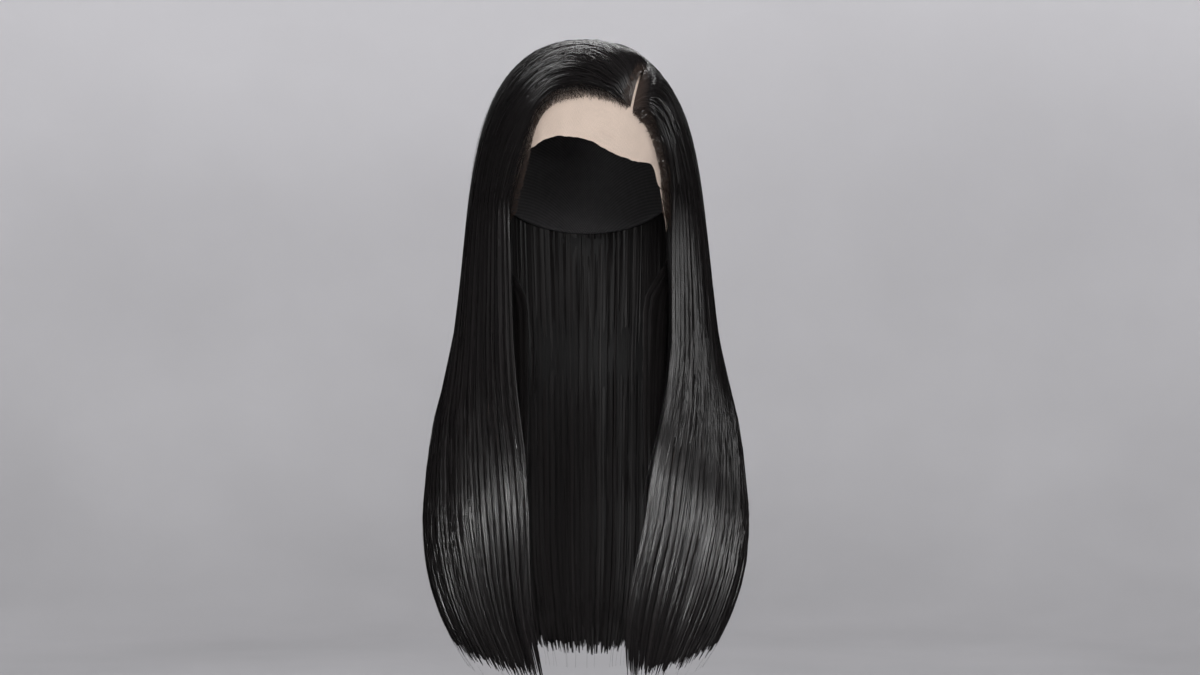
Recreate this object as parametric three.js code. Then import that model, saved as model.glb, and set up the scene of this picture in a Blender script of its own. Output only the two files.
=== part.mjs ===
// A long straight lace front wig, in millimetres, as a three.js scene graph.
//
// The origin is the point inside the cap where the top of the head touches it. +Z is up, the
// wearer faces -Y and the wearer's left is +X. The wig keeps the shape that it has when worn.
//
// Two kinds of coordinates are used. A place on the head is a pair of angles in degrees, seen from
// the head's centre: side (negative to the wearer's right) and up (0 is forward, 90 is the top,
// 180 is the back). A place round the hair is its turn about the vertical: 0 is the front, -90 the
// wearer's right, -180 the back and -270 the wearer's left.
import * as THREE from "three";
import { mergeVertices } from "three/addons/utils/BufferGeometryUtils.js";

const { lerp, smoothstep, clamp, degToRad, radToDeg } = THREE.MathUtils;

// The head that the cap is made for
const HEAD_HALF_WIDTH = 76.5;
const HEAD_HALF_DEPTH = 96.5;
const HEAD_RISE = 112; // from the level of the ears to the top
const HEAD_FULLNESS = 2.5; // 2 is an ellipsoid, more is squarer

// The cap and the lace
const CAP_WALL = 1.5;
const LACE_WALL = 1;
const CLEARANCE = 0.35; // between pieces that touch on the real wig
const TAB_GAP = 0.8; // between a tab and the edge of the lace, which runs a little unevenly
const SEAM_ANGLE = 96; // where the lace panel ends and the cap begins, over the top of the head
const NAPE_ANGLE = 201; // the cap's lower edge at the nape
const EAR_ANGLE = 62; // the edge of the cap and of the lace round the ear
const TAB_ANGLES = { fromSide: 47.5, toSide: 61, tipSide: 50, tipUp: -60 }; // the lace tabs before the ears
const TAB_TIP_SHARE = 0.12; // the width of a tab's round tip, as a share of its width at the top

// The hair on the head
const CROWN_RISE = 10.5; // thickness of the hair on the crown
const RISE_RUN = 15; // how soon it reaches that thickness behind a parting or hairline
const LEAVING_CURVE = 5; // how late on its way over the head the hair leaves the scalp
const HAIR_EDGE = 1.6; // its thickness at the parting and at the hairline
const UNDERSIDE_LIFT = 1.8; // the hair stands this far off the cap, away from its roots
const PARTING_WIDTH = 2.6;
const PARTING_ANGLES = { side: 21.5, up: 39.5, endSide: 25.5, endUp: 75 }; // from the hairline to the crown

// The hair that hangs
const RING_DROP = 150; // where the hair leaves the head, below the top
const TIP_DROP = 526; // the longest tips, below the top
const FALL_HALF_WIDTH = 146; // of the ellipse on which the falls hang, at its widest
const FRONT_REACH = 112; // how far that ellipse reaches in front of the head's centre
const BACK_REACH = 118; // and behind it
const RIGHT_GAP = 65; // from the middle to the edge of the front fall, beside the face
const LEFT_GAP = 70;
const FALL_THICKNESS = 22;
const FALL_CLEARANCE = 0.9; // hanging hair stands this far off the cap, whose facets differ from its own
const FACE_EDGE = 0.12; // how thick the hair is at its edge beside the face, as a share
const TIP_THICKNESS = 1.4;
const TAPER_START = 0.86; // the share of a lock's length at which it starts to thin to its tip
const LOCK_RELIEF = 2; // how far a lock stands out from the furrows beside it
const LOCK_POINT = 26; // how far a lock's tip hangs below the furrows beside it
const LOCK_UNEVEN = 10; // how much the tips differ in length
const FACETS_PER_LOCK = 3;
const OUTER_SHORTER = 18; // how much shorter the hair is away from the middle of the body
const SECTION_GAP_ANGLE = 1.6; // in degrees of turn, between one section of hair and the next

// The hair beside the neck
const NECK_HALF_WIDTH = 84;
const NECK_FRONT_REACH = 60;
const NECK_BACK_REACH = 104;
const NECK_THICKNESS = 7;
const NECK_EDGE = 0.25; // how thick it is at its edges, as a share
const NECK_LOCKS = 4;
const NECK_TOP_DROP = 121;
const NECK_TIP_DROP = 440;

// The turns at which the three sections of hair begin and end where they leave the head
const RIGHT_EDGE_ANGLE = -40;
const RIGHT_END_ANGLE = -100;
const LEFT_END_ANGLE = -260;
const LEFT_EDGE_ANGLE = -315;

// The paths of strands over the head, for the turns at which they leave it. root is the share of
// the parting's length at which a strand starts, and the angles are two places on its way.
const STRANDS = [
  { turn: -40, root: 0, side1: -18, up1: 38, side2: -33.5, up2: 10 },
  { turn: -58, root: 0.12, side1: -6, up1: 55, side2: -38, up2: 42 },
  { turn: -75, root: 0.3, side1: 1, up1: 66.5, side2: -39, up2: 59 },
  { turn: -90, root: 0.5, side1: 6, up1: 76, side2: -39, up2: 76 },
  { turn: -110, root: 0.7, side1: 9, up1: 86, side2: -36, up2: 96 },
  { turn: -140, root: 0.88, side1: 14, up1: 97, side2: -26, up2: 124 },
  { turn: -180, root: 0.97, side1: 22, up1: 103, side2: 2, up2: 140 },
  { turn: -220, root: 0.95, side1: 30, up1: 100, side2: 30, up2: 128 },
  { turn: -250, root: 0.75, side1: 35, up1: 90, side2: 47, up2: 103 },
  { turn: -270, root: 0.5, side1: 37, up1: 76, side2: 53, up2: 78 },
  { turn: -285, root: 0.3, side1: 36, up1: 61, side2: 52, up2: 52 },
  { turn: -300, root: 0.12, side1: 33.5, up1: 49, side2: 49.5, up2: 33 },
  { turn: -315, root: 0, side1: 31, up1: 36, side2: 47.8, up2: 9.8 },
];

// Level sections of the falls. down is the share of the way from where the hair leaves the head to
// the tips, and the other columns are shares of the named sizes.
const SECTIONS = [
  { down: 0, width: 0.71, front: 0.65, back: 0.95, rightGap: 1, leftGap: 1.01, thickness: 0.75 },
  { down: 0.14, width: 0.74, front: 0.76, back: 0.95, rightGap: 0.99, leftGap: 1.06, thickness: 0.85 },
  { down: 0.29, width: 0.79, front: 0.88, back: 0.93, rightGap: 0.96, leftGap: 1.05, thickness: 1 },
  { down: 0.42, width: 0.9, front: 0.97, back: 0.96, rightGap: 0.85, leftGap: 0.92, thickness: 1 },
  { down: 0.56, width: 0.97, front: 1, back: 1, rightGap: 0.75, leftGap: 0.76, thickness: 0.95 },
  { down: 0.67, width: 1, front: 1, back: 1, rightGap: 0.74, leftGap: 0.7, thickness: 0.9 },
  { down: 0.78, width: 0.98, front: 0.98, back: 0.99, rightGap: 0.77, leftGap: 0.62, thickness: 0.8 },
  { down: 0.87, width: 0.92, front: 0.95, back: 0.96, rightGap: 0.76, leftGap: 0.58, thickness: 0.65 },
  { down: 0.94, width: 0.84, front: 0.91, back: 0.92, rightGap: 0.68, leftGap: 0.57, thickness: 0.45 },
  { down: 1, width: 0.74, front: 0.87, back: 0.87, rightGap: 0.6, leftGap: 0.57, thickness: 0.3 },
];

// Where the shoulders part the hair: the turns, to either side of the face, at which the front
// falls end and the back fall begins.
const SHOULDERS = [
  { down: 0, frontEnd: 100, backStart: 100 },
  { down: 0.14, frontEnd: 98, backStart: 102 },
  { down: 0.29, frontEnd: 90, backStart: 109 },
  { down: 0.42, frontEnd: 80, backStart: 118 },
  { down: 0.56, frontEnd: 74, backStart: 126 },
  { down: 0.78, frontEnd: 69, backStart: 129 },
  { down: 1, frontEnd: 60, backStart: 135 },
];

// Level sections of the hair beside the neck, in shares of its named sizes, between two turns.
const NECK_SECTIONS = [
  { down: 0, width: 0.9, front: 0.8, back: 0.9, from: 98, to: 122, thickness: 0.4 },
  { down: 0.12, width: 0.95, front: 0.8, back: 0.92, from: 72, to: 112, thickness: 0.7 },
  { down: 0.25, width: 0.97, front: 0.83, back: 0.7, from: 41, to: 92, thickness: 1 },
  { down: 0.42, width: 0.95, front: 0.97, back: 0.6, from: 39, to: 80, thickness: 1 },
  { down: 0.6, width: 0.97, front: 1.1, back: 0.6, from: 37, to: 72, thickness: 1 },
  { down: 0.8, width: 1.07, front: 1.25, back: 0.6, from: 34, to: 66, thickness: 0.8 },
  { down: 1, width: 1.14, front: 1.38, back: 0.6, from: 31, to: 58, thickness: 0.4 },
];

// The cut edge of the lace over the forehead and temples, as places on the head
const LACE_EDGE = [
  { side: -62, up: -6 },
  { side: -54, up: -5 },
  { side: -45.5, up: -3 },
  { side: -42, up: 3 },
  { side: -37.5, up: 12 },
  { side: -33, up: 18 },
  { side: -27, up: 21 },
  { side: -12, up: 22.5 },
  { side: 5, up: 18 },
  { side: 15, up: 13.5 },
  { side: 28, up: 12 },
  { side: 38, up: 12.5 },
  { side: 42, up: 9.5 },
  { side: 45, up: 0 },
  { side: 48.5, up: -4 },
  { side: 54, up: -5 },
  { side: 62, up: -6 },
];

const LACE_BEIGE = 0xc9b3a5;
const CAP_BLACK = 0x1b1a1b;
const HAIR_BLACK = 0x1e1d1f;
const HAIR_DARK = 0x141315;

// A column's value between two rows of a table, on a smooth curve through their values.
function between(rows, key, column, value) {
  const rising = rows[1][key] > rows[0][key];
  const last = rows.length - 1;
  const next = rows.findIndex((row) => (rising ? row[key] > value : row[key] < value));
  const i = clamp((next < 0 ? last : next) - 1, 0, last - 1);
  const slope = (k) => {
    const a = rows[Math.max(k - 1, 0)];
    const b = rows[Math.min(k + 1, last)];
    return (b[column] - a[column]) / (b[key] - a[key]);
  };
  const [low, high] = [rows[i], rows[i + 1]];
  const step = high[key] - low[key];
  const t = clamp((value - low[key]) / step, 0, 1);
  const level = lerp(low[column], high[column], smoothstep(t, 0, 1));
  return level + t * (1 - t) * step * ((1 - t) * slope(i) - t * slope(i + 1));
}

// The direction from the head's centre to a place on the head.
function direction(side, up) {
  const [s, u] = [degToRad(side), degToRad(up)];
  return new THREE.Vector3(Math.sin(s), -Math.cos(s) * Math.cos(u), Math.cos(s) * Math.sin(u));
}

// The head's radius in a direction of length 1.
function headRadius(unit) {
  const level = Math.hypot(unit.x / HEAD_HALF_WIDTH, unit.y / HEAD_HALF_DEPTH);
  const upright = Math.abs(unit.z) / HEAD_RISE;
  return (level ** HEAD_FULLNESS + upright ** HEAD_FULLNESS) ** (-1 / HEAD_FULLNESS);
}

const HEAD_CENTRE = new THREE.Vector3(0, 0, -HEAD_RISE);

// The point at a height above the scalp, in a direction from the head's centre.
function aboveScalp(toward, height) {
  const unit = toward.clone().normalize();
  return unit.multiplyScalar(headRadius(unit) + height).add(HEAD_CENTRE);
}

// A point moved outwards where it is nearer to the scalp than a height.
function clearOfScalp(point, height) {
  const fromCentre = point.clone().sub(HEAD_CENTRE);
  const least = headRadius(fromCentre.clone().normalize()) + height;
  return fromCentre.length() < least ? fromCentre.setLength(least).add(HEAD_CENTRE) : point;
}

// A closed wall between an outer and an inner skin. Each skin gives a point for the share across
// and the share along. across and along are the numbers of facets.
function wall(across, along, skin) {
  const points = [];
  const outer = (i, j) => skin(i / across, j / along, 1);
  const inner = (i, j) => skin(i / across, j / along, 0);
  const quad = (a, b, c, d) => points.push(a, b, c, a, c, d);
  for (let i = 0; i < across; i++) {
    for (let j = 0; j < along; j++) {
      quad(outer(i, j), outer(i, j + 1), outer(i + 1, j + 1), outer(i + 1, j));
      quad(inner(i, j), inner(i + 1, j), inner(i + 1, j + 1), inner(i, j + 1));
    }
    quad(outer(i, 0), outer(i + 1, 0), inner(i + 1, 0), inner(i, 0));
    quad(outer(i + 1, along), outer(i, along), inner(i, along), inner(i + 1, along));
  }
  for (let j = 0; j < along; j++) {
    quad(outer(0, j + 1), outer(0, j), inner(0, j), inner(0, j + 1));
    quad(outer(across, j), outer(across, j + 1), inner(across, j + 1), inner(across, j));
  }
  const geometry = mergeVertices(new THREE.BufferGeometry().setFromPoints(points), 1e-3);
  geometry.computeVertexNormals();
  return geometry;
}

// 1 inside a section of hair, falling to 0 at its edge in a round curve over a quarter of its width
function rounding(share) {
  const inside = clamp(4 * share, 0, 1);
  return Math.sqrt(1 - (1 - inside) ** 2);
}

// 1 on the ridge of a lock and 0 in the furrow beside it
function ridge(across, locks) {
  return Math.sin(Math.PI * ((across * locks) % 1));
}

// A section of hair: its place, the turns between which it leaves the head, and how many locks it
// has. The right one begins beside the face, and the left one ends there.
class HairSection {
  constructor(place, from, to, locks) {
    Object.assign(this, { place, from, to, locks });
  }

  // The share of the full thickness at a share across and down
  fullness(across, down) {
    const seam = lerp(0.85, 0.15, smoothstep(down, 0.05, 0.4));
    const start = lerp(this.place === "right" ? FACE_EDGE : seam, 1, rounding(across));
    const end = lerp(this.place === "left" ? FACE_EDGE : seam, 1, rounding(1 - across));
    return Math.min(start, end);
  }

  // How far the outside lies below the ridges of the locks
  furrow(across) {
    return LOCK_RELIEF * (1 - ridge(across, this.locks));
  }

  // The share of the fall's length at which the hair ends
  end(across) {
    const goldenTurn = 2.4;
    const uneven = LOCK_UNEVEN * (0.5 + 0.5 * Math.sin(Math.round(across * this.locks) * goldenTurn));
    const point = LOCK_POINT * (1 - ridge(across, this.locks));
    const outward = { right: across, back: 2 * across - 1, left: 1 - across }[this.place];
    return 1 - (point + uneven + OUTER_SHORTER * outward ** 2) / (TIP_DROP - RING_DROP);
  }

  thickness(across, down) {
    const taper = 1 - smoothstep(down / this.end(across), TAPER_START, 1);
    const full = between(SECTIONS, "down", "thickness", down) * FALL_THICKNESS;
    return Math.max(full * this.fullness(across, down) * taper, TIP_THICKNESS);
  }

  // The turns at which a fall begins and ends, on a level section of a given half width
  ends(down, halfWidth) {
    const edge = (gap) => radToDeg(Math.asin(Math.min(gap / halfWidth, 1)));
    const frontEnd = between(SHOULDERS, "down", "frontEnd", down);
    const backStart = between(SHOULDERS, "down", "backStart", down) + SECTION_GAP_ANGLE;
    if (this.place === "back") return [backStart, 360 - backStart];
    if (this.place === "right") {
      return [edge(between(SECTIONS, "down", "rightGap", down) * RIGHT_GAP), frontEnd];
    }
    return [360 - frontEnd, 360 - edge(between(SECTIONS, "down", "leftGap", down) * LEFT_GAP)];
  }

  // A point of the fall below the head, at a depth in the hair: 0 is inside and 1 outside
  fallPoint(across, down, depth) {
    const share = (column) => between(SECTIONS, "down", column, down);
    const width = share("width") * FALL_HALF_WIDTH;
    const angle = degToRad(lerp(...this.ends(down, width), across));
    const reach = Math.cos(angle) > 0 ? share("front") * FRONT_REACH : share("back") * BACK_REACH;
    const thickness = this.thickness(across, down);
    const inset = thickness * (1 - depth) + Math.min(this.furrow(across) * depth, thickness / 2);
    return new THREE.Vector3(
      -(width - inset) * Math.sin(angle),
      -(reach - inset) * Math.cos(angle),
      lerp(-RING_DROP, -TIP_DROP, down),
    );
  }

  // A point of the hair on the head: over is 0 at the root and 1 where it leaves the head
  headPoint(across, over, depth) {
    const turn = lerp(this.from, this.to, across);
    const strand = (column) => between(STRANDS, "turn", column, turn);
    const round = Math.PI * ((turn - RIGHT_EDGE_ANGLE) / (LEFT_EDGE_ANGLE - RIGHT_EDGE_ANGLE));
    const halfParting = radToDeg(PARTING_WIDTH / 2 / HEAD_RISE);
    const start = direction(
      lerp(PARTING_ANGLES.side, PARTING_ANGLES.endSide, strand("root")) - Math.cos(round) * halfParting,
      lerp(PARTING_ANGLES.up, PARTING_ANGLES.endUp, strand("root")) + Math.sin(round) * halfParting,
    );
    const leaving = this.fallPoint(across, 0, depth).sub(HEAD_CENTRE);
    const path = new THREE.CatmullRomCurve3([
      start,
      direction(strand("side1"), strand("up1")),
      direction(strand("side2"), strand("up2")),
      leaving.clone().normalize(),
    ]);
    const grown = 1 - Math.exp((-over * path.getLength() * HEAD_HALF_DEPTH) / RISE_RUN);
    const full = lerp(HAIR_EDGE, CROWN_RISE, grown * this.fullness(across, 0));
    const furrow = Math.min(this.furrow(across) * grown, full) / 2;
    const base = CAP_WALL + CLEARANCE + UNDERSIDE_LIFT * grown;
    const near = base + (full - furrow) * depth;
    const leavingHeight = leaving.length() - headRadius(leaving.clone().normalize());
    const far = Math.max(leavingHeight, base + TIP_THICKNESS * depth);
    return aboveScalp(path.getPoint(over), lerp(near, far, over ** LEAVING_CURVE));
  }

  // A point of the hair, at the share along from its root to its tip: half of the rows are on the
  // head, closer together near the roots
  point(across, along, depth) {
    if (along < 0.5) return this.headPoint(across, (2 * along) ** 1.25, depth);
    const down = (2 * along - 1) * this.end(across);
    return clearOfScalp(this.fallPoint(across, down, depth), CAP_WALL + FALL_CLEARANCE);
  }
}

function hair(section, rows) {
  const skin = (across, along, depth) => section.point(1 - across, along, depth);
  return wall(section.locks * FACETS_PER_LOCK, rows, skin);
}

// The hair beside the neck: hand is -1 on the wearer's right and 1 on the left
function neckHair(hand) {
  const length = NECK_TIP_DROP - NECK_TOP_DROP;
  return wall(NECK_LOCKS * FACETS_PER_LOCK, 12, (across, along, depth) => {
    const sideways = hand < 0 ? 1 - across : across;
    const furrow = 1 - ridge(across, NECK_LOCKS);
    const down = along * (1 - (LOCK_POINT * furrow) / length);
    const share = (column) => between(NECK_SECTIONS, "down", column, down);
    const angle = degToRad(lerp(share("from"), share("to"), sideways));
    const edge = lerp(NECK_EDGE, 1, Math.min(rounding(across), rounding(1 - across)));
    const full = share("thickness") * NECK_THICKNESS * edge;
    const inset = full * (1 - depth) + Math.min(LOCK_RELIEF * furrow, full / 2) * depth;
    const front = Math.cos(angle) > 0;
    const reach = front ? share("front") * NECK_FRONT_REACH : share("back") * NECK_BACK_REACH;
    const point = new THREE.Vector3(
      hand * (share("width") * NECK_HALF_WIDTH - inset) * Math.sin(angle),
      -(reach - inset) * Math.cos(angle),
      -NECK_TOP_DROP - down * length,
    );
    return clearOfScalp(point, CAP_WALL + FALL_CLEARANCE + full * depth);
  });
}

// The cap, from the seam over the top of the head to the nape
function cap() {
  const seamGap = radToDeg(CLEARANCE / HEAD_RISE);
  return wall(18, 12, (across, along, depth) => {
    const side = lerp(EAR_ANGLE, -EAR_ANGLE, across);
    return aboveScalp(direction(side, lerp(SEAM_ANGLE + seamGap, NAPE_ANGLE, along)), CAP_WALL * depth);
  });
}

// The lace, from its cut edge on the forehead to the seam
function laceFront() {
  return wall(26, 11, (across, along, depth) => {
    const side = lerp(EAR_ANGLE, -EAR_ANGLE, across);
    const up = lerp(between(LACE_EDGE, "side", "up", side), SEAM_ANGLE, along);
    return aboveScalp(direction(side, up), LACE_WALL * depth);
  });
}

// A lace tab in front of an ear, from the lower edge of the lace
function earTab(hand) {
  const gap = radToDeg(TAB_GAP / HEAD_HALF_WIDTH);
  const top = (side) => direction(hand * side, between(LACE_EDGE, "side", "up", hand * side) - gap);
  const topMiddle = top((TAB_ANGLES.fromSide + TAB_ANGLES.toSide) / 2);
  const tip = direction(hand * TAB_ANGLES.tipSide, TAB_ANGLES.tipUp);
  return wall(5, 7, (across, along, depth) => {
    const sideways = hand < 0 ? 1 - across : across;
    const width = lerp(TAB_TIP_SHARE, 1, Math.sqrt(1 - along ** 2));
    const edge = top(lerp(TAB_ANGLES.fromSide, TAB_ANGLES.toSide, sideways));
    const beside = edge.sub(topMiddle).multiplyScalar(width);
    const middle = topMiddle.clone().lerp(tip, along);
    return aboveScalp(middle.add(beside), LACE_WALL * depth);
  });
}

function piece(name, geometry, color, roughness) {
  const material = new THREE.MeshStandardMaterial({ color, roughness, metalness: 0 });
  const mesh = new THREE.Mesh(geometry, material);
  mesh.name = name;
  return mesh;
}

const rightFront = new HairSection("right", RIGHT_EDGE_ANGLE, RIGHT_END_ANGLE, 9);
const backStart = RIGHT_END_ANGLE - SECTION_GAP_ANGLE;
const backEnd = LEFT_END_ANGLE + SECTION_GAP_ANGLE;
const back = new HairSection("back", backStart, backEnd, 11);
const leftFront = new HairSection("left", LEFT_END_ANGLE, LEFT_EDGE_ANGLE, 9);

const wig = new THREE.Group();
wig.add(
  piece("cap", cap(), CAP_BLACK, 0.8),
  piece("lace_front", laceFront(), LACE_BEIGE, 0.9),
  piece("right_ear_tab", earTab(-1), LACE_BEIGE, 0.9),
  piece("left_ear_tab", earTab(1), LACE_BEIGE, 0.9),
  piece("right_front_hair", hair(rightFront, 22), HAIR_BLACK, 0.35),
  piece("left_front_hair", hair(leftFront, 22), HAIR_BLACK, 0.35),
  piece("back_hair", hair(back, 20), HAIR_BLACK, 0.35),
  piece("right_neck_hair", neckHair(-1), HAIR_DARK, 0.45),
  piece("left_neck_hair", neckHair(1), HAIR_DARK, 0.45),
);

export default wig;
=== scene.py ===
"""A long straight lace front wig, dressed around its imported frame.

The wig keeps the shape that it has when worn. The origin is the point inside the cap where the top
of the head touches it, +Z is up, the wearer faces -Y and the wearer's left is +X.

Two kinds of coordinates are used. A place on the head is a pair of angles in degrees, seen from the
head's centre: side (negative to the wearer's right) and up (0 is forward, 90 the top, 180 the
back). A place in the hair is its share across a section of hair, its travel (0 at the root, 1 where
the hair leaves the head, 2 at the tips) and its depth (0 inside, 1 outside).
"""

import math
from dataclasses import dataclass

import bpy
import numpy as np
from bpy.props import FloatProperty, FloatVectorProperty, IntProperty, PointerProperty
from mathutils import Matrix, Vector


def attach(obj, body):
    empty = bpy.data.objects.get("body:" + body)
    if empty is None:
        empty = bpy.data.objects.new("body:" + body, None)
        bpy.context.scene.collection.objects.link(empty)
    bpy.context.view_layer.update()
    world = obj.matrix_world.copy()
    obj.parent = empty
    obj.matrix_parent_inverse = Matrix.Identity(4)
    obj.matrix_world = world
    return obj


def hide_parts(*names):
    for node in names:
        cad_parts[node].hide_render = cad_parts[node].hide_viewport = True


bl_info = {
    "name": "Lace front wig",
    "version": (1, 0, 0),
    "blender": (4, 5, 0),
    "location": "3D View > Sidebar > Wig",
    "description": "Makes a long straight lace front wig: its lace, its cap and its hair",
    "category": "Add Mesh",
}

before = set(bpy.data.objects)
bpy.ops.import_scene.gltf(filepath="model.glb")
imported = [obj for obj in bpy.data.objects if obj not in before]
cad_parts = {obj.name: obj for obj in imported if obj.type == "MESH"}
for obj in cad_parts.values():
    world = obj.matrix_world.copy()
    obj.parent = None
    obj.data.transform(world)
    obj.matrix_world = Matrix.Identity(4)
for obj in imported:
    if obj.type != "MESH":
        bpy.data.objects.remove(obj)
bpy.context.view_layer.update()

MM = 0.001


def table(columns, *rows):
    """A table: one dict for each row, from the columns' names to the row's values."""
    return [dict(zip(columns.split(), row)) for row in rows]


# The paths of strands over the head, for the turns at which they leave it. root is the share of
# the parting's length at which a strand starts, and the angles are two places on its way.
STRANDS = table(
    "turn root side1 up1 side2 up2",
    (-40, 0, -18, 38, -33.5, 10),
    (-58, 0.12, -6, 55, -38, 42),
    (-75, 0.3, 1, 66.5, -39, 59),
    (-90, 0.5, 6, 76, -39, 76),
    (-110, 0.7, 9, 86, -36, 96),
    (-140, 0.88, 14, 97, -26, 124),
    (-180, 0.97, 22, 103, 2, 140),
    (-220, 0.95, 30, 100, 30, 128),
    (-250, 0.75, 35, 90, 47, 103),
    (-270, 0.5, 37, 76, 53, 78),
    (-285, 0.3, 36, 61, 52, 52),
    (-300, 0.12, 33.5, 49, 49.5, 33),
    (-315, 0, 31, 36, 47.8, 9.8),
)

# Level sections of the falls. down is the share of the way from where the hair leaves the head to
# the tips, and the other columns are shares of the hair's sizes of the same names.
SECTIONS = table(
    "down half_width front_reach back_reach right_gap left_gap thickness",
    (0, 0.71, 0.65, 0.95, 1, 1.01, 0.75),
    (0.14, 0.74, 0.76, 0.95, 0.99, 1.06, 0.85),
    (0.29, 0.79, 0.88, 0.93, 0.96, 1.05, 1),
    (0.42, 0.9, 0.97, 0.96, 0.85, 0.92, 1),
    (0.56, 0.97, 1, 1, 0.75, 0.76, 0.95),
    (0.67, 1, 1, 1, 0.74, 0.7, 0.9),
    (0.78, 0.98, 0.98, 0.99, 0.77, 0.62, 0.8),
    (0.87, 0.92, 0.95, 0.96, 0.76, 0.58, 0.65),
    (0.94, 0.84, 0.91, 0.92, 0.68, 0.57, 0.45),
    (1, 0.74, 0.87, 0.87, 0.6, 0.57, 0.3),
)

# Where the shoulders part the hair: the turns, to either side of the face, at which the front
# falls end and the back fall begins.
SHOULDERS = table(
    "down front_end back_start",
    (0, 100, 100),
    (0.14, 98, 102),
    (0.29, 90, 109),
    (0.42, 80, 118),
    (0.56, 74, 126),
    (0.78, 69, 129),
    (1, 60, 135),
)

# Level sections of the hair beside the neck, in shares of its named sizes, between two turns.
NECK_SECTIONS = table(
    "down width front back start end thickness",
    (0, 0.9, 0.8, 0.9, 98, 122, 0.4),
    (0.12, 0.95, 0.8, 0.92, 72, 112, 0.7),
    (0.25, 0.97, 0.83, 0.7, 41, 92, 1),
    (0.42, 0.95, 0.97, 0.6, 39, 80, 1),
    (0.6, 0.97, 1.1, 0.6, 37, 72, 1),
    (0.8, 1.07, 1.25, 0.6, 34, 66, 0.8),
    (1, 1.14, 1.38, 0.6, 31, 58, 0.4),
)

# The cut edge of the lace over the forehead and temples, as places on the head
LACE_EDGE = table(
    "side up",
    (-62, -6),
    (-54, -5),
    (-45.5, -3),
    (-42, 3),
    (-37.5, 12),
    (-33, 18),
    (-27, 21),
    (-12, 22.5),
    (5, 18),
    (15, 13.5),
    (28, 12),
    (38, 12.5),
    (42, 9.5),
    (45, 0),
    (48.5, -4),
    (54, -5),
    (62, -6),
)

# The small folds of the lace on the forehead, as lines between two places, with their height and
# width in millimetres
LACE_FOLDS = table(
    "side1 up1 side2 up2 height width",
    (5, 27, 15.5, 21.5, 1.3, 2.6),
    (4, 35, 18, 27, -0.9, 4.5),
    (-15, 32, -19, 21, -1.1, 6),
    (-28, 31, -31, 22, 1.2, 2.4),
    (30, 31, 40, 16, 0.9, 4),
)

# The turns at which the front sections of hair begin and end where they leave the head
RIGHT_EDGE, RIGHT_END, LEFT_END, LEFT_EDGE = -40, -100, -260, -315


def a_length(name, description, default):
    return FloatProperty(name=name, description=description, unit="LENGTH", default=default)


def a_number(name, description, default):
    return FloatProperty(name=name, description=description, default=default)


def a_count(name, description, default):
    return IntProperty(name=name, description=description, default=default)


def a_colour(name, description, default):
    return FloatVectorProperty(name=name, description=description, subtype="COLOR", default=default)


class HeadSizes(bpy.types.PropertyGroup):
    """The head that the cap is made for."""

    half_width: a_length("Half width", "Half of the head's width", 0.0765)
    half_depth: a_length("Half depth", "Half of the head's length", 0.0965)
    rise: a_length("Rise", "From the level of the ears to the top", 0.112)
    fullness: a_number("Fullness", "2 is an ellipsoid, more is squarer", 2.5)


class CapSizes(bpy.types.PropertyGroup):
    """The cap, the lace and the tabs."""

    wall: a_length("Cap wall", "Thickness of the cap", 0.0015)
    lace_low: a_length("Lace inside", "Height of the lace's inside", 0.0004)
    lace_high: a_length("Lace outside", "Height of the lace's outside", 0.0008)
    clearance: a_length("Clearance", "Between pieces that touch", 0.00035)
    fall_clearance: a_length("Fall clearance", "From hanging hair to the cap", 0.0009)
    tab_gap: a_length("Tab gap", "Between a tab and the lace", 0.0006)
    seam_up: a_number("Seam", "Where the lace ends over the top, in degrees", 96)
    nape_up: a_number("Nape", "The cap's lower edge at the nape, in degrees", 201)
    ear_side: a_number("Ear", "The edge round the ear, in degrees", 62)
    net_pitch: a_length("Net pitch", "Between two holes of the lace", 0.0011)


class HairSizes(bpy.types.PropertyGroup):
    """The outer form of the hair."""

    crown_rise: a_length("Crown", "Thickness on the crown", 0.0105)
    rise_run: a_length("Rise run", "How soon it thickens from its roots", 0.015)
    leaving_curve: a_number("Leaving curve", "How late the hair leaves the scalp", 5)
    edge: a_length("Edge", "Thickness at the parting and hairline", 0.0016)
    lift: a_length("Lift", "How far the underside stands off the cap", 0.0018)
    parting_width: a_length("Parting", "Width of the bare parting", 0.0026)
    ring_drop: a_length("Ring", "Where the hair leaves the head, below the top", 0.15)
    tip_drop: a_length("Tips", "The longest tips, below the top", 0.526)
    half_width: a_length("Half width", "Half width of the falls' ellipse", 0.146)
    front_reach: a_length("Front reach", "The ellipse's reach to the front", 0.112)
    back_reach: a_length("Back reach", "The ellipse's reach to the back", 0.118)
    right_gap: a_length("Right gap", "From the middle to the right fall", 0.065)
    left_gap: a_length("Left gap", "From the middle to the left fall", 0.07)
    thickness: a_length("Thickness", "Thickness of the falls", 0.022)
    neck_half_width: a_length("Neck width", "Half width of the neck hair", 0.084)
    neck_front: a_length("Neck front", "Reach of the neck hair to the front", 0.06)
    neck_back: a_length("Neck back", "Reach of the neck hair to the back", 0.104)
    neck_thickness: a_length("Neck thickness", "Thickness of the neck hair", 0.007)
    neck_top: a_length("Neck top", "Where the neck hair begins, below the top", 0.121)
    neck_tip: a_length("Neck tip", "Where it ends, below the top", 0.44)


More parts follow.
